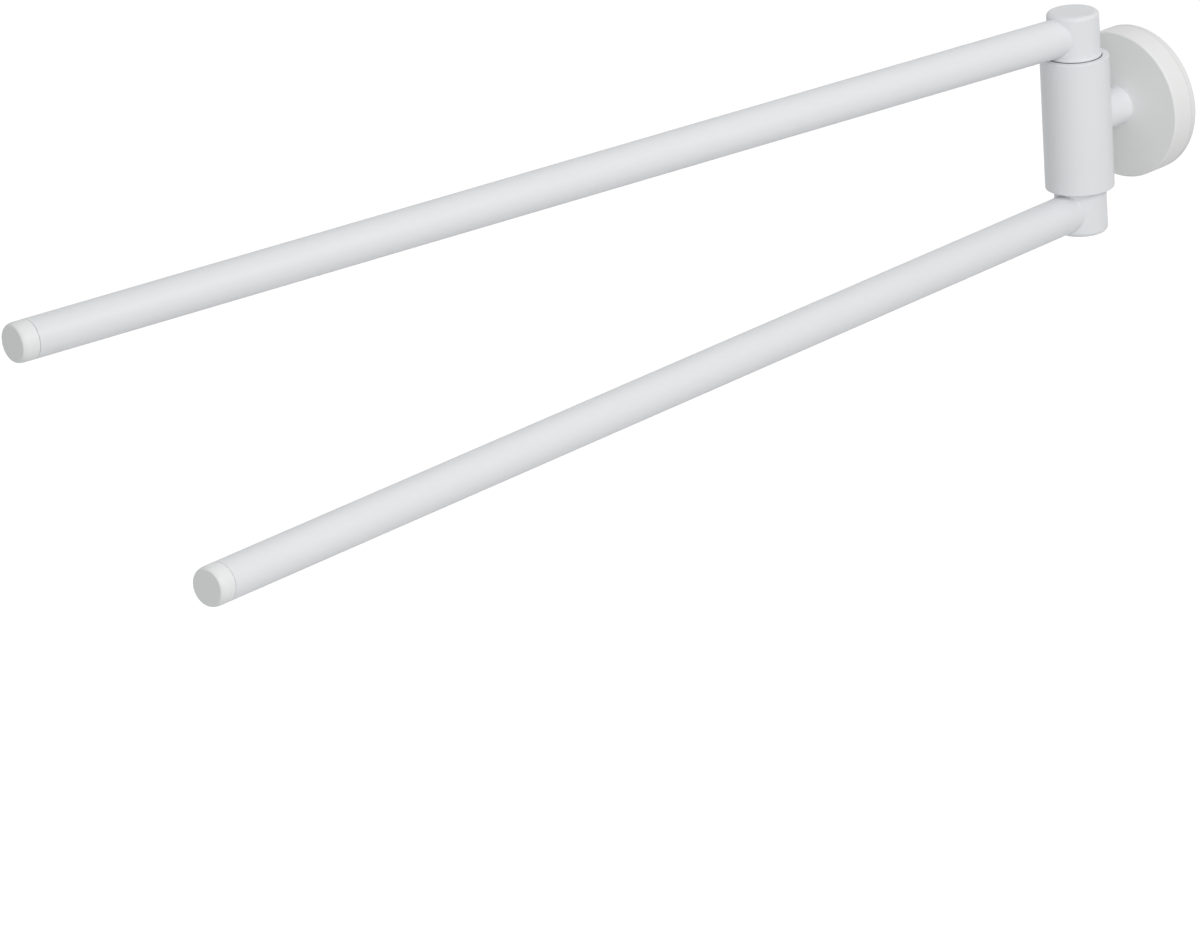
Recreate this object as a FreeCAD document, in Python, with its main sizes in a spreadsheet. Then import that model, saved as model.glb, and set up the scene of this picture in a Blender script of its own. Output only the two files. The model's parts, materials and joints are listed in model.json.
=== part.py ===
"""Wall-mounted towel holder with two swivelling arms.

Lengths are in millimetres and angles in degrees. The wall is the plane y = 0, the room lies
towards -Y, and the origin is the middle of the round rosette at the wall. The arms swivel about
the upright axis of the barrel, and the rest pose has them slightly apart.
"""
import FreeCAD, Part
import math
import os

import Sketcher

SIZES = {
    # rosette, the gasket behind it and the plate that it hides
    "rosette_radius": 25.0,
    "rosette_depth": 10.5,
    "rosette_wall": 4.0,
    "rosette_front": 2.5,
    "rosette_round": 0.6,
    "gasket_thickness": 2.3,
    "gasket_inset": 0.1,
    "plate_thickness": 5.0,
    "plate_clearance": 0.2,
    "recess_radius": 7.5,
    "recess_depth": 2.6,
    "screw_spacing": 26.0,
    "screw_hole_radius": 2.4,
    "countersink": 2.0,
    # grub screw that pulls the rosette onto the plate's grooved edge
    "grub_radius": 1.5,
    "grub_offset": 4.3,
    "grub_sunk": 0.4,
    "grub_key": 1.5,
    "grub_key_depth": 1.3,
    "notch_depth": 0.5,
    # stem, with the screw, washer and dowel that hold it
    "stem_radius": 6.5,
    "clamp_radius": 3.0,
    "clamp_head_radius": 5.0,
    "clamp_head_height": 4.0,
    "clamp_key": 4.0,
    "clamp_key_depth": 2.0,
    "clamp_setback": 2.5,
    "clamp_point": 0.8,
    "bore_clearance": 0.2,
    "washer_radius": 5.4,
    "washer_thickness": 1.2,
    "washer_split": 1.0,
    "dowel_radius": 1.0,
    "dowel_offset": 4.8,
    "dowel_in_rosette": 2.1,
    "dowel_in_stem": 3.0,
    "dowel_room": 0.4,
    # barrel and the bushes pressed into its ends
    "barrel_axis_out": 31.5,
    "barrel_radius": 11.6,
    "barrel_height": 45.4,
    "barrel_round": 0.3,
    "bush_radius": 7.0,
    "bush_length": 14.0,
    "bush_room": 0.5,
    "flange_thickness": 1.2,
    "flange_lip": 0.25,
    # tension screws and the brake pads that they press on the journals
    "tension_radius": 2.0,
    "tension_length": 3.4,
    "tension_sunk": 0.4,
    "tension_key": 2.0,
    "tension_key_depth": 1.6,
    "tension_depth": 8.2,
    "pad_radius": 1.75,
    "pad_point": 0.4,
    "journal_notch_depth": 0.8,
    "journal_notch_width": 4.4,
    # arm heads
    "journal_radius": 5.0,
    "journal_room": 0.7,
    "journal_point": 0.8,
    "head_radius": 8.8,
    "head_crown": 1.3,
    "head_round": 1.5,
    "head_gap": 0.08,
    "foot_lip": 0.25,
    "foot_thickness": 0.75,
    "spigot_reach": 30.0,
    "spigot_point": 0.6,
    # arm tubes and their end caps
    "arm_length": 426.7,
    "tube_radius": 6.5,
    "tube_wall": 1.0,
    "tube_lift": 0.27,
    "cap_length": 6.0,
    "cap_round": 0.9,
    "cap_seam": 0.15,
    "plug_length": 14.0,
    "plug_radius": 5.1,
    "plug_core_radius": 3.6,
    "plug_core_depth": 12.0,
    "rib_width": 1.2,
    "rib_pitch": 3.4,
    # clearances shared by the fits
    "running_clearance": 0.05,
    "slip_clearance": 0.05,
    "thread_clearance": 0.05,
    "seat_clearance": 0.05,
    "overrun": 5.0,
    # rest angles of the arms, counted from straight out of the wall
    "upper_swing": -9.3,
    "lower_swing": 1.93,
}

RIB_COUNT = 3
HEXAGON = 6
FULL_TURN = 360

doc = FreeCAD.newDocument("two_arm_towel_holder")
sheet = doc.addObject("Spreadsheet::Sheet", "sizes")
for row, (alias, size) in enumerate(SIZES.items(), start=1):
    sheet.set(f"A{row}", alias)
    sheet.set(f"B{row}", str(size))
    sheet.setAlias(f"B{row}", alias)
doc.recompute()

# Places that several pieces share, as expressions of the sheet's sizes.
ROSETTE_BORE = "sizes.rosette_radius - sizes.rosette_wall"
ROSETTE_INSIDE = "sizes.rosette_depth - sizes.rosette_front"
PLATE_RADIUS = f"{ROSETTE_BORE} - sizes.plate_clearance"
NOTCH_FLOOR = f"{PLATE_RADIUS} - sizes.notch_depth"
CLAMP_BORE = "sizes.clamp_radius + sizes.bore_clearance"
CLAMP_SEAT = f"{ROSETTE_INSIDE} - sizes.washer_thickness"
BARREL_END = "sizes.barrel_height / 2"
BUSH_SEAT = f"{BARREL_END} - sizes.flange_thickness"
BUSH_END = f"{BUSH_SEAT} - sizes.bush_length"
TENSION_HEIGHT = f"{BARREL_END} - sizes.tension_depth"
TENSION_OUTER = "sizes.barrel_radius - sizes.tension_sunk"
PAD_OUTER = f"{TENSION_OUTER} - sizes.tension_length"
NOTCH_RADIUS = "sizes.journal_radius - sizes.journal_notch_depth"
FOOT_RADIUS = "sizes.head_radius + sizes.foot_lip"
FLANGE_RADIUS = f"{FOOT_RADIUS} + sizes.flange_lip"
FOOT_BASE = f"{BARREL_END} + sizes.head_gap"
FOOT_TOP = f"{FOOT_BASE} + sizes.foot_thickness"
ARM_HEIGHT = f"{FOOT_TOP} + sizes.tube_lift + sizes.tube_radius"
HEAD_TOP = f"{ARM_HEIGHT} + sizes.tube_radius + sizes.head_crown"
TUBE_BORE = "sizes.tube_radius - sizes.tube_wall"
CAP_BASE = "sizes.arm_length - sizes.cap_length"


def minus(expression):
    return f"-1 * ({expression})"


def value(expression):
    """The number that an expression of the sheet's sizes comes to."""
    return float(sheet.evalExpression(expression.replace("sizes.", "")))


def new_body(label, base=("0", "0", "0"), yaw="0", pitch="0", roll="0"):
    body = doc.addObject("PartDesign::Body", label)
    body.Label = label
    place = f"vector({base[0]}; {base[1]}; {base[2]})"
    body.setExpression("Placement", f"placement({place}; rotation({yaw}; {pitch}; {roll}))")
    return body


def sketch_on(body, name, role):
    sketch = body.newObject("Sketcher::SketchObject", name)
    plane = next(item for item in body.Origin.OriginFeatures if item.Role == role)
    sketch.AttachmentSupport = [(plane, "")]
    sketch.MapMode = "FlatFace"
    return sketch


def pin_point(sketch, geometry, point, across, along):
    """Hold one point of a sketch at two bound distances from the sketch's origin."""
    for kind, axis, expression in (("DistanceX", -2, across), ("DistanceY", -1, along)):
        if expression == "0":
            sketch.addConstraint(Sketcher.Constraint("PointOnObject", geometry, point, axis))
        else:
            start = Sketcher.Constraint(kind, -1, 1, geometry, point, value(expression))
            sketch.setExpression(f"Constraints[{sketch.addConstraint(start)}]", expression)


def outline(body, name, role, corners):
    """A closed outline of straight lines whose corners are pairs of expressions."""
    sketch = sketch_on(body, name, role)
    spots = [FreeCAD.Vector(value(across), value(along), 0) for across, along in corners]
    for start, end in zip(spots, spots[1:] + spots[:1]):
        sketch.addGeometry(Part.LineSegment(start, end), False)
    for line, (across, along) in enumerate(corners):
        after = (line + 1) % len(corners)
        sketch.addConstraint(Sketcher.Constraint("Coincident", line, 2, after, 1))
        pin_point(sketch, line, 1, across, along)
    return sketch


def circles(body, name, role, radius, centres):
    sketch = sketch_on(body, name, role)
    for circle, (across, along) in enumerate(centres):
        middle = FreeCAD.Vector(value(across), value(along), 0)
        sketch.addGeometry(Part.Circle(middle, FreeCAD.Vector(0, 0, 1), value(radius)), False)
        bound = sketch.addConstraint(Sketcher.Constraint("Radius", circle, value(radius)))
        sketch.setExpression(f"Constraints[{bound}]", radius)
        pin_point(sketch, circle, 3, across, along)
    return sketch


def turned(body, role, corners):
    """A turned blank: the outline's first number is a radius, its second a place on the axis."""
    profile = outline(body, f"{body.Label}_profile", role, corners)
    blank = body.newObject("PartDesign::Revolution", f"{body.Label}_turning")
    blank.Profile = profile
    blank.ReferenceAxis = (profile, ["V_Axis"])
    blank.Angle = FULL_TURN
    doc.recompute()
    return blank


def extruded(body, kind, sketch, length=None, backwards=False, both_ways=False):
    """A pad or pocket of a sketch; with no length, a pocket goes right through."""
    before = body.Shape.Volume
    feature = body.newObject(f"PartDesign::{kind}", f"{sketch.Name}_{kind.lower()}")
    feature.Profile = sketch
    feature.Reversed = backwards
    if length is None:
        feature.Type = "ThroughAll"
    else:
        feature.setExpression("Length", length)
    if both_ways:
        feature.Midplane = True
    doc.recompute()
    if math.isclose(before, body.Shape.Volume):
        raise RuntimeError(f"{feature.Name} changes nothing")
    return feature


def ring_edges(feature, radius, axis, along):
    """Names of the circles of one radius whose middles lie at one place along an axis."""
    found = []
    for number, edge in enumerate(feature.Shape.Edges, start=1):
        curve = edge.Curve
        if not isinstance(curve, Part.Circle):
            continue
        same_radius = math.isclose(curve.Radius, value(radius), rel_tol=1e-6)
        if same_radius and math.isclose(curve.Center[axis], value(along), abs_tol=1e-6):
            found.append(f"Edge{number}")
    if not found:
        raise RuntimeError(f"{feature.Label} has no such ring")
    return found


def eased(body, kind, size, rings):
    """Round or bevel the named rings of a body by one size."""
    base = body.Tip
    edges = [edge for ring in rings for edge in ring_edges(base, *ring)]
    feature = body.newObject(f"PartDesign::{kind}", f"{body.Label}_{size.split('.')[-1]}")
    feature.Base = (base, edges)
    feature.setExpression("Radius" if kind == "Fillet" else "Size", size)
    doc.recompute()
    return feature


def hexagon(body, flats):
    """A hexagon for a key, drawn square to the body's Y axis."""
    corners = []
    for corner in range(HEXAGON):
        angle = f"{corner} * 360 deg / {HEXAGON}"
        reach = f"{flats} / 2 / cos(180 deg / {HEXAGON})"
        level = corner % (HEXAGON // 2) == 0
        corners.append((f"{reach} * cos({angle})", "0" if level else f"{reach} * sin({angle})"))
    return outline(body, f"{body.Label}_key", "XZ_Plane", corners)


def set_screw(label, radius, length, key, key_depth, point, **place):
    """A headless screw along -Y from its keyed end, with a bevelled point or, bevelled all over, a cone."""
    body = new_body(label, **place)
    flat = [] if point == radius else [(f"{radius} - {point}", minus(length))]
    turned(body, "XY_Plane", [
        ("0", "0"),
        (radius, "0"),
        (radius, minus(f"{length} - ({point})")),
        *flat,
        ("0", minus(length)),
    ])
    extruded(body, "Pocket", hexagon(body, key), key_depth, backwards=True)
    return body


def wall_gasket():
    """White ring between the rosette's rim and the wall, parted from the rim by a fine step."""
    body = new_body("wall_gasket")
    outer = "sizes.rosette_radius - sizes.gasket_inset"
    front = minus("sizes.gasket_thickness")
    turned(body, "XY_Plane", [
        (ROSETTE_BORE, "0"),
        (outer, "0"),
        (outer, front),
        (ROSETTE_BORE, front),
    ])
    return body


def wall_plate():
    """Plate screwed to the wall, with a grooved edge for the grub screw and a recess for the clamp screw."""
    body = new_body("wall_plate")
    front = minus("sizes.plate_thickness")
    floor = minus("sizes.plate_thickness - sizes.recess_depth")
    turned(body, "XY_Plane", [
        ("0", "0"),
        (PLATE_RADIUS, "0"),
        (PLATE_RADIUS, minus("sizes.grub_offset - sizes.notch_depth")),
        (NOTCH_FLOOR, minus("sizes.grub_offset")),
        (PLATE_RADIUS, minus("sizes.grub_offset + sizes.notch_depth")),
        (PLATE_RADIUS, front),
        ("sizes.recess_radius", front),
        ("sizes.recess_radius", floor),
        ("0", floor),
    ])
    places = [("sizes.screw_spacing / 2", "0"), (minus("sizes.screw_spacing / 2"), "0")]
    holes = circles(body, "wall_screw_holes", "XZ_Plane", "sizes.screw_hole_radius", places)
    extruded(body, "Pocket", holes, backwards=True)
    eased(body, "Chamfer", "sizes.countersink", [("sizes.screw_hole_radius", 1, front)])
    return body


def rosette():
    """Round cup that covers the plate, bored for the clamp screw, the dowel and the grub screw."""
    body = new_body("rosette")
    front = minus("sizes.rosette_depth")
    inside = minus(ROSETTE_INSIDE)
    rear = minus("sizes.gasket_thickness")
    turned(body, "XY_Plane", [
        (CLAMP_BORE, front),
        ("sizes.rosette_radius", front),
        ("sizes.rosette_radius", rear),
        (ROSETTE_BORE, rear),
        (ROSETTE_BORE, inside),
        (CLAMP_BORE, inside),
    ])
    grub = circles(body, "grub_hole", "XY_Plane", "sizes.grub_radius + sizes.thread_clearance",
                   [("0", minus("sizes.grub_offset"))])
    extruded(body, "Pocket", grub)
    dowel = circles(body, "dowel_hole", "XZ_Plane", "sizes.dowel_radius + sizes.slip_clearance",
                    [("0", "sizes.dowel_offset")])
    extruded(body, "Pocket", dowel, backwards=True)
    eased(body, "Fillet", "sizes.rosette_round", [("sizes.rosette_radius", 1, front)])
    return body


def rosette_grub_screw():
    """Cone-pointed screw up through the underside of the rosette's rim into the plate's groove."""
    outer = "sizes.rosette_radius - sizes.grub_sunk"
    tip = f"{NOTCH_FLOOR} + 2 * sizes.seat_clearance"
    return set_screw("rosette_grub_screw", "sizes.grub_radius", f"{outer} - ({tip})", "sizes.grub_key",
                     "sizes.grub_key_depth", "sizes.grub_radius",
                     base=("0", minus("sizes.grub_offset"), minus(outer)), roll="-90")


def stem():
    """Bored bar between the rosette and the barrel, cut to a saddle at the barrel."""
    body = new_body("stem")
    rear = minus("sizes.rosette_depth")
    front = minus("sizes.barrel_axis_out")
    turned(body, "XY_Plane", [
        (CLAMP_BORE, rear),
        ("sizes.stem_radius", rear),
        ("sizes.stem_radius", front),
        (CLAMP_BORE, front),
    ])
    saddle = circles(body, "stem_saddle", "XY_Plane", "sizes.barrel_radius + sizes.seat_clearance",
                     [("0", front)])
    extruded(body, "Pocket", saddle, "2 * (sizes.stem_radius + sizes.overrun)", both_ways=True)
    dowel = circles(body, "stem_dowel_hole", "XZ_Plane", "sizes.dowel_radius + sizes.slip_clearance",
                    [("0", "sizes.dowel_offset")])
    deep = "sizes.rosette_depth + sizes.dowel_in_stem + sizes.dowel_room"
    extruded(body, "Pocket", dowel, deep, backwards=True)
    return body


def stem_dowel():
    """Pin that keeps the stem from turning on the rosette."""
    body = new_body("stem_dowel", base=("0", "0", "sizes.dowel_offset"))
    rear = minus("sizes.rosette_depth - sizes.dowel_in_rosette")
    front = minus("sizes.rosette_depth + sizes.dowel_in_stem")
    turned(body, "XY_Plane", [
        ("0", rear),
        ("sizes.dowel_radius", rear),
        ("sizes.dowel_radius", front),
        ("0", front),
    ])
    return body


def lock_washer():
    """Split washer under the clamp screw's head."""
    body = new_body("lock_washer")
    rear = minus(CLAMP_SEAT)
    front = minus(ROSETTE_INSIDE)
    turned(body, "XY_Plane", [
        (CLAMP_BORE, rear),
        ("sizes.washer_radius", rear),
        ("sizes.washer_radius", front),
        (CLAMP_BORE, front),
    ])
    half = "sizes.washer_split / 2"
    end = minus("sizes.washer_radius + sizes.overrun")
    split = outline(body, "washer_split", "XZ_Plane", [
        (half, "0"),
        (minus(half), "0"),
        (minus(half), end),
        (half, end),
    ])
    extruded(body, "Pocket", split, backwards=True)
    return body


def clamp_screw():
    """Screw from inside the rosette, through the stem, into the barrel's middle."""
    seat = minus("sizes.clamp_head_height")
    body = new_body("clamp_screw", base=("0", minus(f"{CLAMP_SEAT} - sizes.clamp_head_height"), "0"))
    reach = f"sizes.barrel_axis_out - sizes.clamp_setback - ({CLAMP_SEAT} - sizes.clamp_head_height)"
    turned(body, "XY_Plane", [
        ("0", "0"),
        ("sizes.clamp_head_radius", "0"),
        ("sizes.clamp_head_radius", seat),
        ("sizes.clamp_radius", seat),
        ("sizes.clamp_radius", minus(f"{reach} - sizes.clamp_point")),
        ("sizes.clamp_radius - sizes.clamp_point", minus(reach)),
        ("0", minus(reach)),
    ])
    extruded(body, "Pocket", hexagon(body, "sizes.clamp_key"), "sizes.clamp_key_depth", backwards=True)
    return body


def barrel():
    """Upright barrel with a solid middle and a pocket for a bush at each end."""
    body = new_body("barrel", base=("0", minus("sizes.barrel_axis_out"), "0"))
    pocket = "sizes.bush_radius + sizes.slip_clearance"
    collar = f"{FLANGE_RADIUS} + sizes.slip_clearance"
    web = f"{BUSH_END} - sizes.bush_room"
    upper_half = [
        ("sizes.barrel_radius", BARREL_END),
        (collar, BARREL_END),
        (collar, BUSH_SEAT),
        (pocket, BUSH_SEAT),
        (pocket, web),
        ("0", web),
    ]
    lower_half = [(radius, minus(height)) for radius, height in reversed(upper_half)]
    turned(body, "XZ_Plane", upper_half + lower_half)
    clamp = circles(body, "clamp_hole", "XZ_Plane", "sizes.clamp_radius + sizes.thread_clearance",
                    [("0", "0")])
    extruded(body, "Pocket", clamp)
    tension = circles(body, "tension_holes", "XZ_Plane", "sizes.tension_radius + sizes.thread_clearance",
                      [("0", TENSION_HEIGHT), ("0", minus(TENSION_HEIGHT))])
    extruded(body, "Pocket", tension)
    eased(body, "Fillet", "sizes.barrel_round", [
        ("sizes.barrel_radius", 2, BARREL_END),
        ("sizes.barrel_radius", 2, minus(BARREL_END)),
    ])
    return body


def swivel_place(side, turns=True):
    """Where the pieces of one arm's swivel lie: the lower ones are the upper ones turned over."""
    return {
        "base": ("0", minus("sizes.barrel_axis_out"), "0"),
        "yaw": f"sizes.{side}_swing" if turns else "0",
        "pitch": "0" if side == "upper" else "180",
    }


def bush(side):
    """Flanged bush whose rim shows as a dark line round the foot of the arm's head."""
    body = new_body(f"{side}_bush", **swivel_place(side, turns=False))
    bore = "sizes.journal_radius + sizes.running_clearance"
    turned(body, "XZ_Plane", [
        (bore, BUSH_END),
        ("sizes.bush_radius", BUSH_END),
        ("sizes.bush_radius", BUSH_SEAT),
        (FLANGE_RADIUS, BUSH_SEAT),
        (FLANGE_RADIUS, BARREL_END),
        (bore, BARREL_END),
    ])
    window = circles(body, f"{side}_pad_window", "XZ_Plane", "sizes.pad_radius + sizes.slip_clearance",
                     [("0", TENSION_HEIGHT)])
    extruded(body, "Pocket", window)
    return body


def tension_place(side, along):
    height = TENSION_HEIGHT if side == "upper" else minus(TENSION_HEIGHT)
    return {"base": ("0", f"{along} - sizes.barrel_axis_out", height)}


def tension_screw(side):
    """Screw in the barrel's wall side that sets how stiffly an arm swivels."""
    return set_screw(f"{side}_tension_screw", "sizes.tension_radius", "sizes.tension_length",
                     "sizes.tension_key", "sizes.tension_key_depth", "sizes.pad_point",
                     **tension_place(side, TENSION_OUTER))


def brake_pad(side):
    """Pad that rubs in the journal's groove and keeps the arm from lifting out."""
    body = new_body(f"{side}_brake_pad", **tension_place(side, PAD_OUTER))
    length = f"{PAD_OUTER} - ({NOTCH_RADIUS}) - sizes.running_clearance"
    turned(body, "XY_Plane", [
        ("0", "0"),
        ("sizes.pad_radius", "0"),
        ("sizes.pad_radius", minus(f"{length} - sizes.pad_point")),
        ("sizes.pad_radius - sizes.pad_point", minus(length)),
        ("0", minus(length)),
    ])
    return body


def arm_head(side):
    """Cast head with its journal below and a spigot that goes into the arm's tube."""
    body = new_body(f"{side}_head", **swivel_place(side))
    journal_end = f"{BUSH_END} + sizes.journal_room"
    notch_low = f"{TENSION_HEIGHT} - sizes.journal_notch_width / 2"
    notch_high = f"{TENSION_HEIGHT} + sizes.journal_notch_width / 2"
    turned(body, "XZ_Plane", [
        ("0", journal_end),
        ("sizes.journal_radius - sizes.journal_point", journal_end),
        ("sizes.journal_radius", f"{journal_end} + sizes.journal_point"),
        ("sizes.journal_radius", notch_low),
        (NOTCH_RADIUS, notch_low),
        (NOTCH_RADIUS, notch_high),
        ("sizes.journal_radius", notch_high),
        ("sizes.journal_radius", FOOT_BASE),
        (FOOT_RADIUS, FOOT_BASE),
        (FOOT_RADIUS, FOOT_TOP),
        ("sizes.head_radius", FOOT_TOP),
        ("sizes.head_radius", HEAD_TOP),
        ("0", HEAD_TOP),
    ])
    spigot_radius = f"{TUBE_BORE} - sizes.slip_clearance"
    spigot = circles(body, f"{side}_spigot", "XZ_Plane", spigot_radius, [("0", ARM_HEIGHT)])
    extruded(body, "Pad", spigot, "sizes.spigot_reach")
    eased(body, "Fillet", "sizes.head_round", [("sizes.head_radius", 2, HEAD_TOP)])
    eased(body, "Chamfer", "sizes.spigot_point", [(spigot_radius, 1, minus("sizes.spigot_reach"))])
    return body


def arm_axis_place(side):
    """Frame of a tube or cap: on the arm's own axis, with its origin on the swivel axis."""
    height = ARM_HEIGHT if side == "upper" else minus(ARM_HEIGHT)
    return {
        "base": ("0", minus("sizes.barrel_axis_out"), height),
        "yaw": f"sizes.{side}_swing",
    }


def arm_tube(side):
    """Straight tube, cut to a saddle where it meets the head."""
    body = new_body(f"{side}_tube", **arm_axis_place(side))
    end = minus(f"{CAP_BASE} - sizes.cap_seam")
    turned(body, "XY_Plane", [
        (TUBE_BORE, "0"),
        ("sizes.tube_radius", "0"),
        ("sizes.tube_radius", end),
        (TUBE_BORE, end),
    ])
    saddle = circles(body, f"{side}_saddle", "XY_Plane", "sizes.head_radius + sizes.seat_clearance",
                     [("0", "0")])
    extruded(body, "Pocket", saddle, "2 * (sizes.tube_radius + sizes.overrun)", both_ways=True)
    return body


def end_cap(side):
    """Plug with ring ribs that closes the free end of the tube."""
    body = new_body(f"{side}_end_cap", **arm_axis_place(side))
    inner_end = f"{CAP_BASE} - sizes.plug_length"
    core_end = f"{inner_end} + sizes.plug_core_depth"
    rib_radius = f"{TUBE_BORE} - sizes.slip_clearance"
    corners = [
        ("0", minus("sizes.arm_length")),
        ("sizes.tube_radius", minus("sizes.arm_length")),
        ("sizes.tube_radius", minus(CAP_BASE)),
        ("sizes.plug_radius", minus(CAP_BASE)),
    ]
    for rib in range(RIB_COUNT):
        near = f"{CAP_BASE} - {rib + 1} * sizes.rib_pitch"
        far = f"{near} - sizes.rib_width"
        corners += [
            ("sizes.plug_radius", minus(near)),
            (rib_radius, minus(near)),
            (rib_radius, minus(far)),
            ("sizes.plug_radius", minus(far)),
        ]
    corners += [
        ("sizes.plug_radius", minus(inner_end)),
        ("sizes.plug_core_radius", minus(inner_end)),
        ("sizes.plug_core_radius", minus(core_end)),
        ("0", minus(core_end)),
    ]
    turned(body, "XY_Plane", corners)
    eased(body, "Fillet", "sizes.cap_round", [("sizes.tube_radius", 1, minus("sizes.arm_length"))])
    return body


pieces = [
    wall_gasket(),
    wall_plate(),
    rosette(),
    rosette_grub_screw(),
    stem(),
    stem_dowel(),
    lock_washer(),
    clamp_screw(),
    barrel(),
]
for arm in ("upper", "lower"):
    pieces += [make(arm) for make in (bush, tension_screw, brake_pad, arm_head, arm_tube, end_cap)]
doc.recompute()

for item in doc.Objects:
    if "Invalid" in item.State or "Error" in item.State:
        raise RuntimeError(f"{item.Label} failed: {item.State}")
for piece in pieces:
    if piece.Shape.isNull() or not piece.Shape.isValid() or len(piece.Shape.Solids) != 1:
        raise RuntimeError(f"{piece.Label} isn't one valid solid")

os.makedirs("parts", exist_ok=True)
for piece in pieces:
    piece.Shape.exportStep(f"parts/{piece.Label}.step")
    print(f"{piece.Label}: {piece.Shape.Volume:.1f} mm3")
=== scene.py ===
import json
import math

import bmesh
import bpy
from mathutils import Matrix, Vector


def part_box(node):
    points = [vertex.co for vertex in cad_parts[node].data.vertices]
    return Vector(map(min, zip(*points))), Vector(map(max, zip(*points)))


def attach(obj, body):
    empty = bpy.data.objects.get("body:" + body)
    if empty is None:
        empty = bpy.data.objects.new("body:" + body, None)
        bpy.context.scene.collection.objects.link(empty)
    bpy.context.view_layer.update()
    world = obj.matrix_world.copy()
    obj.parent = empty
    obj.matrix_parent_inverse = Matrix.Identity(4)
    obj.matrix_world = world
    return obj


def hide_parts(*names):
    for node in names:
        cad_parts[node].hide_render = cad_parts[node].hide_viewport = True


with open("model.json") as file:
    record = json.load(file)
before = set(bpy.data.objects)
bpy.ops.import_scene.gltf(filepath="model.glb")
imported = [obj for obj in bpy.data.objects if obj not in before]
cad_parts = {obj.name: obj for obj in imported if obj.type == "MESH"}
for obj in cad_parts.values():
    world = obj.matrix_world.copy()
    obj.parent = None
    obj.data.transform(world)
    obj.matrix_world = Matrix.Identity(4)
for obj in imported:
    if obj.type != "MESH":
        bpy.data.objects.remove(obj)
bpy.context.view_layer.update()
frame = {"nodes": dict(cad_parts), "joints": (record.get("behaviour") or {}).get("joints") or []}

MM = 0.001


# Wall plate
# A turned disc of zinc-plated steel, screwed to the wall through two countersunk holes. The rosette
# hangs over it, so only its back shows, with the fine rings that the lathe left under the plating.
def new_material(name):
    """A material with its shader, and the place on the piece that its patterns follow."""
    material = bpy.data.materials.new(name)
    material.use_nodes = True
    nodes = material.node_tree.nodes
    place = nodes.new("ShaderNodeTexCoord").outputs["Object"]
    return material, nodes, material.node_tree.links, nodes["Principled BSDF"], place


def colour_mix(nodes, links, factor):
    """A mix of two colours by a mask: the first colour, the second one and what comes out."""
    mix = nodes.new("ShaderNodeMix")
    mix.data_type = "RGBA"
    links.new(factor, mix.inputs["Factor"])
    return mix.inputs[6], mix.inputs[7], mix.outputs[2]


def ramp_colour(nodes, links, factor, dark, light):
    """A colour that goes from one tone to another with a mask."""
    first, second, mixed = colour_mix(nodes, links, factor)
    first.default_value = (*dark, 1)
    second.default_value = (*light, 1)
    return mixed


def ramp_value(nodes, links, factor, low, high):
    """A number that goes from low to high as a mask goes from 0.3 to 0.7."""
    spread = nodes.new("ShaderNodeMapRange")
    spread.inputs["From Min"].default_value = 0.3
    spread.inputs["From Max"].default_value = 0.7
    spread.inputs["To Min"].default_value = low
    spread.inputs["To Max"].default_value = high
    links.new(factor, spread.inputs["Value"])
    return spread.outputs["Result"]


def raise_surface(nodes, links, shader, height, depth, strength):
    """Fine relief of a surface, depth metres deep."""
    bump = nodes.new("ShaderNodeBump")
    bump.inputs["Strength"].default_value = strength
    bump.inputs["Distance"].default_value = depth
    links.new(height, bump.inputs["Height"])
    links.new(bump.outputs["Normal"], shader.inputs["Normal"])


def lathe_ring_group():
    """Fine rings round one axis, of uneven depth, and a slow stain across them."""
    group = bpy.data.node_groups.new("lathe_rings", "ShaderNodeTree")
    group.interface.new_socket("Place", in_out="INPUT", socket_type="NodeSocketVector")
    group.interface.new_socket("Across", in_out="INPUT", socket_type="NodeSocketVector")
    group.interface.new_socket("Ring Scale", in_out="INPUT", socket_type="NodeSocketFloat")
    group.interface.new_socket("Rings", in_out="OUTPUT", socket_type="NodeSocketFloat")
    group.interface.new_socket("Stain", in_out="OUTPUT", socket_type="NodeSocketFloat")
    nodes, links = group.nodes, group.links
    given = nodes.new("NodeGroupInput")
    result = nodes.new("NodeGroupOutput")
    flat = nodes.new("ShaderNodeVectorMath")
    flat.operation = "MULTIPLY"
    links.new(given.outputs["Place"], flat.inputs[0])
    links.new(given.outputs["Across"], flat.inputs[1])
    reach = nodes.new("ShaderNodeVectorMath")
    reach.operation = "LENGTH"
    links.new(flat.outputs["Vector"], reach.inputs[0])
    rings = nodes.new("ShaderNodeTexNoise")
    rings.noise_dimensions = "1D"
    rings.inputs["Detail"].default_value = 3
    links.new(reach.outputs["Value"], rings.inputs["W"])
    links.new(given.outputs["Ring Scale"], rings.inputs["Scale"])
    links.new(rings.outputs["Fac"], result.inputs["Rings"])
    stain = nodes.new("ShaderNodeTexNoise")
    stain.inputs["Scale"].default_value = 90
    stain.inputs["Detail"].default_value = 4
    links.new(given.outputs["Place"], stain.inputs["Vector"])
    links.new(stain.outputs["Fac"], result.inputs["Stain"])
    return group


lathe_rings = lathe_ring_group()


def plated_steel_material():
    material, nodes, links, shader, place = new_material("zinc_plated_steel")
    rings = nodes.new("ShaderNodeGroup")
    rings.node_tree = lathe_rings
    rings.inputs["Across"].default_value = (1, 0, 1)
    rings.inputs["Ring Scale"].default_value = 2600
    links.new(place, rings.inputs["Place"])
    colour = ramp_colour(
        nodes, links, rings.outputs["Stain"], dark=(0.50, 0.51, 0.54), light=(0.70, 0.71, 0.72))
    links.new(colour, shader.inputs["Base Color"])
    gloss = ramp_value(nodes, links, rings.outputs["Rings"], low=0.28, high=0.46)
    links.new(gloss, shader.inputs["Roughness"])
    raise_surface(nodes, links, shader, rings.outputs["Rings"], depth=0.02 * MM, strength=0.5)
    shader.inputs["Metallic"].default_value = 1
    return material


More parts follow.
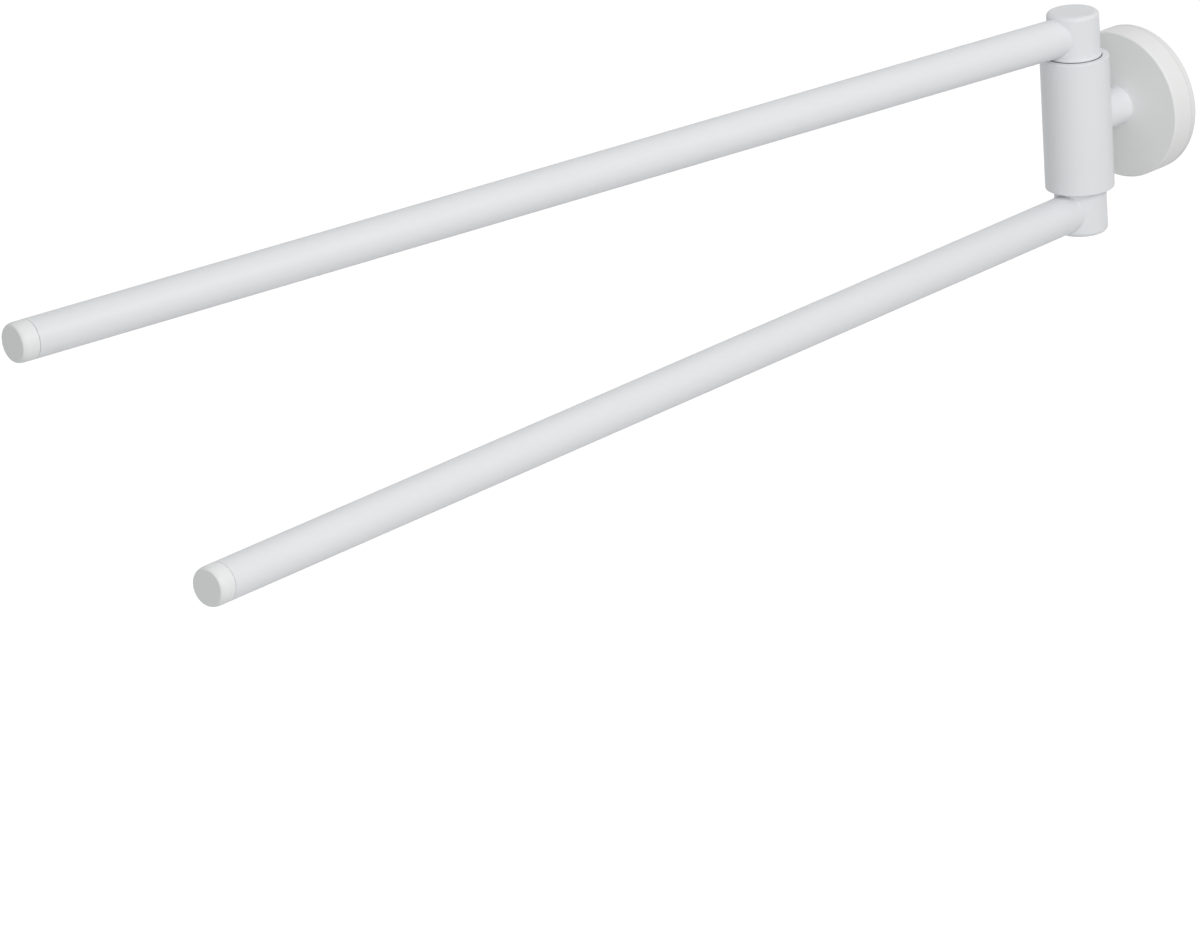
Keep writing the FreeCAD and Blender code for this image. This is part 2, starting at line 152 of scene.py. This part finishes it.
frame["nodes"]["wall_plate"].data.materials.clear()
frame["nodes"]["wall_plate"].data.materials.append(plated_steel_material())


# Wall gasket
# A ring of white rubber, moulded almost flush with the rosette's rim and laid between it and the wall,
# which two sealing grooves in its back grip. A hair-fine seam shows where it meets the rim, its face
# greyed there with painted shade.
def new_blank(name, radius, start, end, sides):
    """A round bar from start to end, with its place in its mesh."""
    bpy.ops.object.select_all(action="DESELECT")
    along = end - start
    turn = along.to_track_quat("Z", "Y").to_euler()
    bpy.ops.mesh.primitive_cylinder_add(
        vertices=sides, radius=radius, depth=along.length, location=(start + end) / 2, rotation=turn)
    piece = bpy.context.object
    piece.name = name
    bpy.ops.object.transform_apply(location=True, rotation=True, scale=True)
    return piece


def edit(piece):
    """Start shaping a piece, with nothing of it selected."""
    bpy.ops.object.select_all(action="DESELECT")
    bpy.context.view_layer.objects.active = piece
    piece.select_set(True)
    bpy.ops.object.mode_set(mode="EDIT")
    bpy.ops.mesh.select_mode(type="FACE")
    bpy.ops.mesh.select_all(action="DESELECT")


def done():
    """Finish shaping a piece."""
    bpy.ops.object.mode_set(mode="OBJECT")


def pick_end(piece, facing):
    """Select the round end face that looks one way, and nothing else."""
    bpy.ops.mesh.select_mode(type="FACE")
    bpy.ops.mesh.select_all(action="DESELECT")
    shape = bmesh.from_edit_mesh(piece.data)
    side_corners = 4
    straight = 0.99
    ends = [
        face for face in shape.faces
        if len(face.verts) > side_corners and face.normal.dot(facing) > straight]
    max(ends, key=lambda face: face.calc_center_median().dot(facing)).select_set(True)
    bmesh.update_edit_mesh(piece.data)


def pick_rings(piece, axis, middle, rings):
    """Select the circles of edges at each (radius, place along the axis), counted from a middle."""
    bpy.ops.mesh.select_mode(type="EDGE")
    bpy.ops.mesh.select_all(action="DESELECT")
    shape = bmesh.from_edit_mesh(piece.data)
    near = 0.02 * MM

    def on_ring(vert, radius, height):
        out = vert.co - middle
        rise = out.dot(axis)
        return abs(rise - height) < near and abs((out - rise * axis).length - radius) < near

    for edge in shape.edges:
        edge.select_set(any(all(on_ring(vert, *ring) for vert in edge.verts) for ring in rings))
    bmesh.update_edit_mesh(piece.data)


def ease_rings(piece, axis, middle, rings, size, steps):
    """Round the circles of edges at each (radius, place along the axis)."""
    pick_rings(piece, axis, middle, rings)
    bpy.ops.mesh.bevel(offset=size, segments=steps, affect="EDGES")


def open_bore(piece, facing):
    """Take out the two end faces left in the middle of a ring, and join them by a wall."""
    for way in (facing, -facing):
        pick_end(piece, way)
        bpy.ops.mesh.delete(type="ONLY_FACE")
    bpy.ops.mesh.select_mode(type="EDGE")
    bpy.ops.mesh.select_all(action="DESELECT")
    bpy.ops.mesh.select_non_manifold()
    bpy.ops.mesh.bridge_edge_loops()


def hand_over(piece, body, slot, material, *nodes):
    """Give a shaped piece its finish and the body that it moves with, and hide the nodes that it stands
    for.
    """
    soft_turn = math.radians(32)
    bpy.ops.object.select_all(action="DESELECT")
    bpy.context.view_layer.objects.active = piece
    piece.select_set(True)
    bpy.ops.object.shade_smooth_by_angle(angle=soft_turn)
    even = piece.modifiers.new("even_shading", "WEIGHTED_NORMAL")
    even.keep_sharp = True
    bpy.ops.object.modifier_apply(modifier=even.name)
    piece.data.materials.clear()
    piece.data.materials.append(material)
    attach(piece, body)
    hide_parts(*nodes)


def fine_grain_group():
    """Pimples of a surface at two sizes, and a slow cloud for its tone and gloss."""
    group = bpy.data.node_groups.new("fine_grain", "ShaderNodeTree")
    group.interface.new_socket("Place", in_out="INPUT", socket_type="NodeSocketVector")
    for size in ("Coarse", "Fine", "Cloud Scale"):
        group.interface.new_socket(size, in_out="INPUT", socket_type="NodeSocketFloat")
    for mask in ("Pimples", "Cloud"):
        group.interface.new_socket(mask, in_out="OUTPUT", socket_type="NodeSocketFloat")
    nodes, links = group.nodes, group.links
    given = nodes.new("NodeGroupInput")
    result = nodes.new("NodeGroupOutput")

    def noise(scale, detail):
        node = nodes.new("ShaderNodeTexNoise")
        node.inputs["Detail"].default_value = detail
        links.new(given.outputs["Place"], node.inputs["Vector"])
        links.new(given.outputs[scale], node.inputs["Scale"])
        return node.outputs["Fac"]

    fine_share = 0.35
    both = nodes.new("ShaderNodeMath")
    both.operation = "MULTIPLY_ADD"
    both.inputs[1].default_value = fine_share
    links.new(noise("Fine", detail=2), both.inputs[0])
    links.new(noise("Coarse", detail=2), both.inputs[2])
    links.new(both.outputs["Value"], result.inputs["Pimples"])
    links.new(noise("Cloud Scale", detail=3), result.inputs["Cloud"])
    return group


fine_grain = fine_grain_group()


def grainy_material(name, tones, gloss, grain, relief):
    """A coat, plastic or rubber: two tones, a range of roughness, and pimples of one relief."""
    material, nodes, links, shader, place = new_material(name)
    node = nodes.new("ShaderNodeGroup")
    node.node_tree = fine_grain
    for size, scale in zip(("Coarse", "Fine", "Cloud Scale"), grain):
        node.inputs[size].default_value = scale
    links.new(place, node.inputs["Place"])
    links.new(ramp_colour(nodes, links, node.outputs["Cloud"], *tones), shader.inputs["Base Color"])
    links.new(ramp_value(nodes, links, node.outputs["Cloud"], *gloss), shader.inputs["Roughness"])
    raise_surface(nodes, links, shader, node.outputs["Pimples"], *relief)
    return material


outward = Vector((0, -1, 0))
wall = Vector((0, 0, 0))
gasket_low, gasket_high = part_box("wall_gasket")
gasket_front = -gasket_low.y
gasket_radius = gasket_high.x
gasket_bore = 21 * MM
gasket_edge = 0.1 * MM
seam_width = 0.1 * MM
seam_depth = 0.8 * MM
groove_count = 2
land_width = 0.75 * MM
groove_width = 0.7 * MM
groove_depth = 0.35 * MM
seam_height = gasket_front - seam_width
gasket = new_blank("gasket_ring", gasket_radius, wall, outward * seam_height, sides=192)
edit(gasket)
pick_end(gasket, outward)
bpy.ops.mesh.inset(thickness=seam_depth)
bpy.ops.mesh.extrude_region_move(TRANSFORM_OT_translate={"value": outward * seam_width})
bpy.ops.mesh.inset(thickness=gasket_radius - seam_depth - gasket_bore)
pick_end(gasket, -outward)
bpy.ops.mesh.inset(thickness=land_width)
for groove in range(groove_count):
    bpy.ops.mesh.extrude_region_move(TRANSFORM_OT_translate={"value": outward * groove_depth})
    bpy.ops.mesh.inset(thickness=groove_width)
    bpy.ops.mesh.extrude_region_move(TRANSFORM_OT_translate={"value": -outward * groove_depth})
    bpy.ops.mesh.inset(thickness=land_width)
grooved_width = (groove_count + 1) * land_width + groove_count * groove_width
bpy.ops.mesh.inset(thickness=gasket_radius - grooved_width - gasket_bore)
open_bore(gasket, outward)
gasket_rings = [(gasket_radius, seam_height), (gasket_radius, 0)]
ease_rings(gasket, outward, wall, gasket_rings, gasket_edge, steps=2)
done()
gasket_rubber = grainy_material(
    "pale_rubber", tones=[(0.832, 0.835, 0.832), (0.850, 0.853, 0.850)], gloss=(0.62, 0.80),
    grain=(1400, 5200, 60), relief=(0.04 * MM, 0.6))


def painted_seam_shade(material, seam, fade, seam_shade):
    """Paint shade on the surface that lies within fade of the seam's height above the wall: a painted
    shadow along the seam.
    """
    nodes, links = material.node_tree.nodes, material.node_tree.links
    colour = nodes["Principled BSDF"].inputs["Base Color"]
    clean = colour.links[0].from_socket
    height = nodes.new("ShaderNodeSeparateXYZ")
    links.new(nodes["Texture Coordinate"].outputs["Object"], height.inputs["Vector"])
    near = nodes.new("ShaderNodeMapRange")
    near.inputs["From Min"].default_value = -seam + fade
    near.inputs["From Max"].default_value = -seam
    links.new(height.outputs["Y"], near.inputs["Value"])
    first, second, mixed = colour_mix(nodes, links, near.outputs["Result"])
    links.new(clean, first)
    second.default_value = (*seam_shade, 1)
    links.new(mixed, colour)


# Painted shade: the gasket's face in the seam is greyed to stand in for the seam's shadow.
painted_seam_shade(gasket_rubber, seam_height, fade=0.06 * MM, seam_shade=(0.30, 0.30, 0.29))
hand_over(gasket, "wall_mount", "gasket_rubber", gasket_rubber, "wall_gasket")


# Rosette and its grub screw
# A round cup turned from brass and powder coated white. It drops over the wall plate, and a small
# cone-pointed screw in the underside of its rim pulls it tight on the plate's grooved edge.
def cut_hole(piece, radius, start, end):
    """Drill a hole right through what lies between two points."""
    drill = new_blank("drill", radius, start, end, sides=48)
    cut = piece.modifiers.new("hole", "BOOLEAN")
    cut.operation = "DIFFERENCE"
    cut.solver = "EXACT"
    cut.object = drill
    bpy.ops.object.select_all(action="DESELECT")
    bpy.context.view_layer.objects.active = piece
    piece.select_set(True)
    bpy.ops.object.modifier_apply(modifier=cut.name)
    bpy.data.objects.remove(drill)


rosette_low, rosette_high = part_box("rosette")
rosette_radius = rosette_high.x
rosette_front = -rosette_low.y
rosette_wall = 4 * MM
rosette_floor = 2.5 * MM
rosette_edge = 0.6 * MM
rosette_rear_edge = 0.1 * MM
rosette = new_blank(
    "rosette_cup", rosette_radius, outward * gasket_front, outward * rosette_front, sides=192)
edit(rosette)
pick_end(rosette, -outward)
bpy.ops.mesh.inset(thickness=rosette_wall)
sunk = outward * (rosette_front - rosette_floor - gasket_front)
bpy.ops.mesh.extrude_region_move(TRANSFORM_OT_translate={"value": sunk})
ease_rings(rosette, outward, wall, [(rosette_radius, rosette_front)], rosette_edge, steps=6)
ease_rings(rosette, outward, wall, [(rosette_radius, gasket_front)], rosette_rear_edge, steps=2)
done()

grub_low, grub_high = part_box("rosette_grub_screw")
grub_middle = (grub_low + grub_high) / 2
grub_hole = 1.55 * MM
clamp_bore = 3.2 * MM
down = Vector((0, 0, -1))
cut_hole(rosette, grub_hole, grub_middle - down * rosette_wall, grub_middle + down * 2 * rosette_wall)
cut_hole(rosette, clamp_bore, outward * gasket_front, outward * (rosette_front + rosette_wall))
# Painted light: the rosette's coat is a lighter, warmer copy of the arms' white coat, standing in for the
# warm light from above on its face.
rosette_lit_coat = grainy_material(
    "rosette_painted_light_coat", tones=[(0.866, 0.868, 0.863), (0.882, 0.884, 0.879)], gloss=(0.42, 0.54),
    grain=(1100, 3600, 22), relief=(0.05 * MM, 0.30))
hand_over(rosette, "wall_mount", "white_coat", rosette_lit_coat, "rosette")


def screw_steel_material():
    material, nodes, links, shader, place = new_material("screw_steel")
    grain = nodes.new("ShaderNodeGroup")
    grain.node_tree = fine_grain
    for size, scale in (("Coarse", 900), ("Fine", 4200), ("Cloud Scale", 260)):
        grain.inputs[size].default_value = scale
    links.new(place, grain.inputs["Place"])
    colour = ramp_colour(
        nodes, links, grain.outputs["Cloud"], dark=(0.44, 0.45, 0.47), light=(0.60, 0.61, 0.62))
    links.new(colour, shader.inputs["Base Color"])
    gloss = ramp_value(nodes, links, grain.outputs["Pimples"], low=0.24, high=0.42)
    links.new(gloss, shader.inputs["Roughness"])
    raise_surface(nodes, links, shader, grain.outputs["Pimples"], depth=0.02 * MM, strength=0.4)
    shader.inputs["Metallic"].default_value = 1
    return material


screw_steel = screw_steel_material()
frame["nodes"]["rosette_grub_screw"].data.materials.clear()
frame["nodes"]["rosette_grub_screw"].data.materials.append(screw_steel)


# Stem, with the screw, washer and dowel inside it
# A bored round bar, coated white, between the rosette's face and the barrel. A long screw from inside
# the rosette pulls it up, and the washer and the dowel keep it from turning loose.
stem_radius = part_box("stem")[1].x
stem_edge = 0.15 * MM
barrel_low, barrel_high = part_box("barrel")
barrel_middle = (barrel_low + barrel_high) / 2
barrel_radius = (barrel_high.x - barrel_low.x) / 2
stem_sunk = 0.03 * MM
stem = new_blank("stem_bar", stem_radius, outward * rosette_front, barrel_middle, sides=96)
edit(stem)
ease_rings(stem, outward, wall, [(stem_radius, rosette_front)], stem_edge, steps=2)
saddle = bmesh.from_edit_mesh(stem.data)
for vert in saddle.verts:
    if abs(vert.co.y - barrel_middle.y) < stem_edge:
        vert.co.y = barrel_middle.y + math.sqrt((barrel_radius - stem_sunk) ** 2 - vert.co.x ** 2)
bmesh.update_edit_mesh(stem.data)
done()
white_coat = grainy_material(
    "white_powder_coat", tones=[(0.806, 0.820, 0.838), (0.824, 0.837, 0.854)], gloss=(0.40, 0.52),
    grain=(1100, 3600, 22), relief=(0.05 * MM, 0.30))
hand_over(stem, "wall_mount", "white_coat", white_coat, "stem")
for fastener in ("clamp_screw", "lock_washer", "stem_dowel"):
    frame["nodes"][fastener].data.materials.clear()
    frame["nodes"][fastener].data.materials.append(screw_steel)


# Barrel, with its tension screws and brake pads
# A turned and coated cylinder with a pocket in each end for a bush. Two set screws in its wall side
# press nylon pads on the arms' journals and set how stiffly the arms swivel.
up = Vector((0, 0, 1))
barrel_end = barrel_high.z
barrel_edge = 0.3 * MM
collar_radius = 9.35 * MM
collar_edge = 0.06 * MM
flange_thickness = 1.2 * MM
pocket_radius = 7.05 * MM
pocket_depth = 14.5 * MM
tension_hole = 2.05 * MM
drill_reach = 4 * MM
barrel_half = up * barrel_end
barrel = new_blank(
    "barrel_body", barrel_radius, barrel_middle - barrel_half, barrel_middle + barrel_half, sides=144)
edit(barrel)
for way in (up, -up):
    pick_end(barrel, way)
    bpy.ops.mesh.inset(thickness=barrel_radius - collar_radius)
    bpy.ops.mesh.extrude_region_move(TRANSFORM_OT_translate={"value": -way * flange_thickness})
    bpy.ops.mesh.inset(thickness=collar_radius - pocket_radius)
    bpy.ops.mesh.extrude_region_move(TRANSFORM_OT_translate={"value": -way * pocket_depth})
for height in (barrel_end, -barrel_end):
    ease_rings(barrel, up, barrel_middle, [(barrel_radius, height)], barrel_edge, steps=6)
    ease_rings(barrel, up, barrel_middle, [(collar_radius, height)], collar_edge, steps=2)
done()
past_wall = outward * drill_reach
for side in ("upper", "lower"):
    screw_low, screw_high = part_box(f"{side}_tension_screw")
    screw_middle = (screw_low + screw_high) / 2
    cut_hole(barrel, tension_hole, screw_middle + past_wall, screw_middle - past_wall)
hand_over(barrel, "wall_mount", "white_coat", white_coat, "barrel")

nylon = grainy_material(
    "pad_nylon", tones=[(0.74, 0.71, 0.62), (0.80, 0.77, 0.69)], gloss=(0.45, 0.60),
    grain=(1800, 5200, 120), relief=(0.03 * MM, 0.5))
for side in ("upper", "lower"):
    for node, finish in ((f"{side}_tension_screw", screw_steel), (f"{side}_brake_pad", nylon)):
        frame["nodes"][node].data.materials.clear()
        frame["nodes"][node].data.materials.append(finish)


# Bushes
# Flanged bushes turned from plastic and pressed into the barrel's ends. Their near-black colour is
# painted
# shade: the rim of each shows as the dark line between the barrel and the foot of the arm's head,
# standing in for the shadow in that narrow gap.
def bush_shade_material():
    material, nodes, links, shader, place = new_material("painted_shade_bush")
    centred = nodes.new("ShaderNodeMapping")
    centred.inputs["Location"].default_value = (0, -barrel_middle.y, 0)
    links.new(place, centred.inputs["Vector"])
    rings = nodes.new("ShaderNodeGroup")
    rings.node_tree = lathe_rings
    rings.inputs["Across"].default_value = (1, 1, 0)
    rings.inputs["Ring Scale"].default_value = 3800
    links.new(centred.outputs["Vector"], rings.inputs["Place"])
    # Painted shade: the near-black tones stand in for the shadow in the gap under the head's foot.
    colour = ramp_colour(
        nodes, links, rings.outputs["Stain"], dark=(0.055, 0.056, 0.060), light=(0.085, 0.086, 0.090))
    links.new(colour, shader.inputs["Base Color"])
    gloss = ramp_value(nodes, links, rings.outputs["Rings"], low=0.45, high=0.62)
    links.new(gloss, shader.inputs["Roughness"])
    raise_surface(nodes, links, shader, rings.outputs["Rings"], depth=0.02 * MM, strength=0.5)
    return material


bush_low, bush_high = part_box("upper_bush")
flange_radius = (bush_high.x - bush_low.x) / 2
sleeve_radius = 7 * MM
journal_bore = 5.05 * MM
bush_edge = 0.1 * MM
bush_seat = barrel_middle + up * (barrel_end - flange_thickness)
upper_bush = new_blank(
    "upper_bush_ring", flange_radius, bush_seat, barrel_middle + up * barrel_end, sides=144)
edit(upper_bush)
pick_end(upper_bush, -up)
bpy.ops.mesh.inset(thickness=flange_radius - sleeve_radius)
bpy.ops.mesh.extrude_region_move(TRANSFORM_OT_translate={"value": (0, 0, bush_low.z - bush_seat.z)})
bpy.ops.mesh.inset(thickness=sleeve_radius - journal_bore)
pick_end(upper_bush, up)
bpy.ops.mesh.inset(thickness=flange_radius - journal_bore)
open_bore(upper_bush, up)
ease_rings(upper_bush, up, barrel_middle, [(flange_radius, barrel_end)], bush_edge, steps=2)
done()


def turned_over(piece, name):
    """A copy of an upper piece with its own mesh, turned half way round the wall's normal."""
    copy = piece.copy()
    copy.data = piece.data.copy()
    copy.name = name
    bpy.context.scene.collection.objects.link(copy)
    copy.data.transform(Matrix.Rotation(math.pi, 4, "Y"))
    return copy


bush_plastic = bush_shade_material()
lower_bush = turned_over(upper_bush, "lower_bush_ring")
hand_over(upper_bush, "wall_mount", "bush_plastic", bush_plastic, "upper_bush")
hand_over(lower_bush, "wall_mount", "bush_plastic", bush_plastic, "lower_bush")


# Arm heads
# Turned heads on the barrel's ends, each with a foot that hides the bush and a journal that runs in
# it. An arm's tube is joined to the head's side and both are coated together.
upper_swing = math.radians(-9.3)
lower_swing = math.radians(1.93)
head_low, head_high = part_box("upper_head")
head_radius = 8.8 * MM
head_top = head_high.z
head_round = 1.5 * MM
foot_radius = 9.05 * MM
foot_thickness = 0.75 * MM
running_gap = 0.08 * MM
foot_base = barrel_end + running_gap
foot_top = foot_base + foot_thickness
foot_edge = 0.12 * MM
journal_radius = 5 * MM
journal_edge = 0.8 * MM
axis_foot = Vector((0, barrel_middle.y, 0))
upper_head = new_blank(
    "upper_arm_head", head_radius, axis_foot + up * foot_top, axis_foot + up * head_top, sides=144)
edit(upper_head)
pick_end(upper_head, -up)
wider = foot_radius / head_radius
bpy.ops.mesh.extrude_region_move()
bpy.ops.transform.resize(value=(wider, wider, 1), center_override=axis_foot + up * foot_top)
bpy.ops.mesh.extrude_region_move(TRANSFORM_OT_translate={"value": (0, 0, foot_base - foot_top)})
bpy.ops.mesh.inset(thickness=foot_radius - journal_radius)
bpy.ops.mesh.extrude_region_move(TRANSFORM_OT_translate={"value": (0, 0, head_low.z - foot_base)})
ease_rings(upper_head, up, axis_foot, [(journal_radius, head_low.z)], journal_edge, steps=2)
foot_rings = [(foot_radius, foot_top), (foot_radius, foot_base)]
ease_rings(upper_head, up, axis_foot, foot_rings, foot_edge, steps=2)
ease_rings(upper_head, up, axis_foot, [(head_radius, head_top)], head_round, steps=9)
done()


def swing(piece, angle):
    """Turn a piece of an arm that points straight out to its rest angle on the barrel's axis."""
    there = Matrix.Translation(axis_foot)
    piece.data.transform(there @ Matrix.Rotation(angle, 4, "Z") @ there.inverted())


def make_both(piece, lower_name, slot, material, node):
    """Copy a piece of the upper arm for the lower arm, swing both out and hand them over."""
    lower = turned_over(piece, lower_name)
    for copy, angle, side in ((piece, upper_swing, "upper"), (lower, lower_swing, "lower")):
        swing(copy, angle)
        hand_over(copy, f"{side}_arm", slot, material, f"{side}_{node}")


make_both(upper_head, "lower_arm_head", "white_coat", white_coat, "head")


# Arm tubes
# Straight drawn tubes. Each is cut to the round of its head, joined to it with a small filled corner
# and coated with it, so no seam shows there, and ends just short of its cap.
tube_radius = 6.5 * MM
arm_length = 426.7 * MM
cap_length = 6 * MM
cap_seam = 0.15 * MM
tube_edge = 0.12 * MM
arm_height = frame["joints"][0]["pos_m"][2]
tube_start = axis_foot + up * arm_height
tube_reach = arm_length - cap_length - cap_seam
corner_steps = 5
corner_least = 0.12 * MM
corner_most = 0.4 * MM
corner_sunk = 0.03 * MM


def corner_point(around, step):
    """A point of the filled corner: step 0 lies on the tube, the last step on the head."""
    fill = corner_least + (corner_most - corner_least) * math.cos(around) ** 2
    side = (tube_radius + fill) * math.cos(around)
    rise = (tube_radius + fill) * math.sin(around)
    out = math.sqrt((head_radius + fill) ** 2 - side ** 2)
    ball = Vector((side, out, rise))
    to_tube = Vector((-math.cos(around), 0, -math.sin(around)))
    to_head = Vector((-side, -out, 0)).normalized()
    reach = fill + corner_sunk * step / corner_steps
    return ball + to_tube.slerp(to_head, step / corner_steps) * reach


upper_tube = new_blank(
    "upper_arm_tube", tube_radius, tube_start, tube_start + outward * tube_reach, sides=128)
edit(upper_tube)
ease_rings(upper_tube, outward, tube_start, [(tube_radius, tube_reach)], tube_edge, steps=2)
pick_end(upper_tube, -outward)
bpy.ops.mesh.delete(type="ONLY_FACE")
pick_rings(upper_tube, outward, tube_start, [(tube_radius, 0)])
for step in range(corner_steps + 1):
    if step:
        bpy.ops.mesh.extrude_edges_move()
    shape = bmesh.from_edit_mesh(upper_tube.data)
    for vert in shape.verts:
        if vert.select:
            out = vert.co - tube_start
            side, fore, rise = corner_point(math.atan2(out.z, out.x), step)
            vert.co = tube_start + Vector((side, -fore, rise))
    bmesh.update_edit_mesh(upper_tube.data)
bpy.ops.mesh.edge_face_add()
done()
make_both(upper_tube, "lower_arm_tube", "white_coat", white_coat, "tube")


# End caps
# Moulded caps of white plastic, pressed into the tubes' free ends by a plug, with a long soft shoulder
# round a flat face. A hair-fine seam shows between each cap and its tube.
shoulder_width = 0.95 * MM
shoulder_length = 2.5 * MM
shoulder_margin = 0.15 * MM
cap_edge = 0.12 * MM
plug_radius = 5.1 * MM
plug_length = 14 * MM
cap_base = arm_length - cap_length
cap_tip = tube_start + outward * arm_length
upper_cap = new_blank("upper_arm_cap", tube_radius, tube_start + outward * cap_base, cap_tip, sides=128)
edit(upper_cap)
pick_end(upper_cap, -outward)
bpy.ops.mesh.inset(thickness=tube_radius - plug_radius)
bpy.ops.mesh.extrude_region_move(TRANSFORM_OT_translate={"value": -outward * plug_length})
ease_rings(upper_cap, outward, tube_start, [(tube_radius, arm_length)], shoulder_width, steps=14)
bpy.ops.mesh.select_mode(type="VERT")
bpy.ops.mesh.select_all(action="DESELECT")
shoulder_start = arm_length - shoulder_width - shoulder_margin
shape = bmesh.from_edit_mesh(upper_cap.data)
for vert in shape.verts:
    vert.select_set((vert.co - tube_start).dot(outward) > shoulder_start)
bmesh.update_edit_mesh(upper_cap.data)
bpy.ops.transform.resize(value=(1, shoulder_length / shoulder_width, 1), center_override=cap_tip)
ease_rings(upper_cap, outward, tube_start, [(tube_radius, cap_base)], cap_edge, steps=2)
done()
cap_plastic = grainy_material(
    "white_cap_plastic", tones=[(0.845, 0.864, 0.864), (0.868, 0.885, 0.884)], gloss=(0.46, 0.58),
    grain=(2200, 6000, 45), relief=(0.03 * MM, 0.35))
make_both(upper_cap, "lower_arm_cap", "cap_plastic", cap_plastic, "end_cap")


# Floor, light and camera
# A pale floor about a metre below the holder, an evenly lit white room with soft boxes at the right in
# front, high behind and high at the right, and the camera at the picture's place.
bpy.ops.object.select_all(action="DESELECT")
floor_width = 60
floor_height = -0.9
bpy.ops.mesh.primitive_plane_add(size=floor_width, location=(0, 0, floor_height))
floor = bpy.context.object
floor.name = "pale_floor"


def seen_mask(nodes, links):
    """1 for what the eye sees, straight, mirrored or through glass, and 0 for the light that it sheds."""
    path = nodes.new("ShaderNodeLightPath")
    mirrored = nodes.new("ShaderNodeMath")
    mirrored.operation = "MAXIMUM"
    links.new(path.outputs["Is Camera Ray"], mirrored.inputs[0])
    links.new(path.outputs["Is Glossy Ray"], mirrored.inputs[1])
    through = nodes.new("ShaderNodeMath")
    through.operation = "MAXIMUM"
    links.new(mirrored.outputs["Value"], through.inputs[0])
    links.new(path.outputs["Is Transmission Ray"], through.inputs[1])
    return through.outputs["Value"]


floor_grey = (0.70, 0.70, 0.70)
floor_glow = 0.72
floor_paint = bpy.data.materials.new("pale_floor_paint")
floor_paint.use_nodes = True
nodes, links = floor_paint.node_tree.nodes, floor_paint.node_tree.links
nodes.remove(nodes["Principled BSDF"])
matt = nodes.new("ShaderNodeBsdfDiffuse")
matt.inputs["Color"].default_value = (*floor_grey, 1)
glow = nodes.new("ShaderNodeEmission")
level = nodes.new("ShaderNodeMath")
level.operation = "MULTIPLY"
level.inputs[1].default_value = floor_glow
links.new(seen_mask(nodes, links), level.inputs[0])
links.new(level.outputs["Value"], glow.inputs["Strength"])
both = nodes.new("ShaderNodeAddShader")
links.new(matt.outputs["BSDF"], both.inputs[0])
links.new(glow.outputs["Emission"], both.inputs[1])
links.new(both.outputs["Shader"], nodes["Material Output"].inputs["Surface"])
floor.data.materials.append(floor_paint)

room_light = 0.505
room_seen = 1
world = bpy.data.worlds.new("white_room")
bpy.context.scene.world = world
world.use_nodes = True
nodes, links = world.node_tree.nodes, world.node_tree.links
strength = nodes.new("ShaderNodeMapRange")
strength.inputs["To Min"].default_value = room_light
strength.inputs["To Max"].default_value = room_seen
links.new(seen_mask(nodes, links), strength.inputs["Value"])
links.new(strength.outputs["Result"], nodes["Background"].inputs["Strength"])
nodes["Background"].inputs["Color"].default_value = (1, 1, 1, 1)


def soft_box(name, place, aim, width, power):
    """A square lamp that looks at one spot."""
    bpy.ops.object.light_add(type="AREA", location=place)
    lamp = bpy.context.object
    lamp.name = name
    lamp.rotation_euler = (Vector(place) - Vector(aim)).to_track_quat("Z", "Y").to_euler()
    lamp.data.shape = "SQUARE"
    lamp.data.size = width
    lamp.data.energy = power


arms_middle = (0, -0.2, 0)
soft_box("right_front_box", (1.4, -1.3, 0.4), aim=arms_middle, width=1.0, power=6.9)
soft_box("top_back_box", (0.3, 0.9, 1.6), aim=arms_middle, width=1.0, power=1.6)
soft_box("wall_box", (1.05, -0.21, 0.7), aim=wall, width=0.42, power=4.7)

view_aim = Vector((-0.000185, -0.269035, -0.049424))
view_azimuth = math.radians(43.910)
view_elevation = math.radians(19.388)
view_roll = math.radians(-3.520)
view_distance = 3.00786
view_lens = 285.24
view_sensor = 36
level_right = Vector((math.cos(view_azimuth), math.sin(view_azimuth), 0))
back = Vector((
    math.sin(view_azimuth) * math.cos(view_elevation),
    -math.cos(view_azimuth) * math.cos(view_elevation),
    math.sin(view_elevation)))
level_up = back.cross(level_right)
right = level_right * math.cos(view_roll) + level_up * math.sin(view_roll)
tall = level_up * math.cos(view_roll) - level_right * math.sin(view_roll)
bpy.ops.object.camera_add()
camera = bpy.context.object
camera.data.lens = view_lens
camera.data.sensor_width = view_sensor
camera.data.sensor_fit = "HORIZONTAL"
view_turn = Matrix((right, tall, back)).transposed().to_4x4()
camera.matrix_world = Matrix.Translation(view_aim + back * view_distance) @ view_turn
bpy.context.scene.camera = camera
bpy.context.scene.view_settings.view_transform = "Standard"
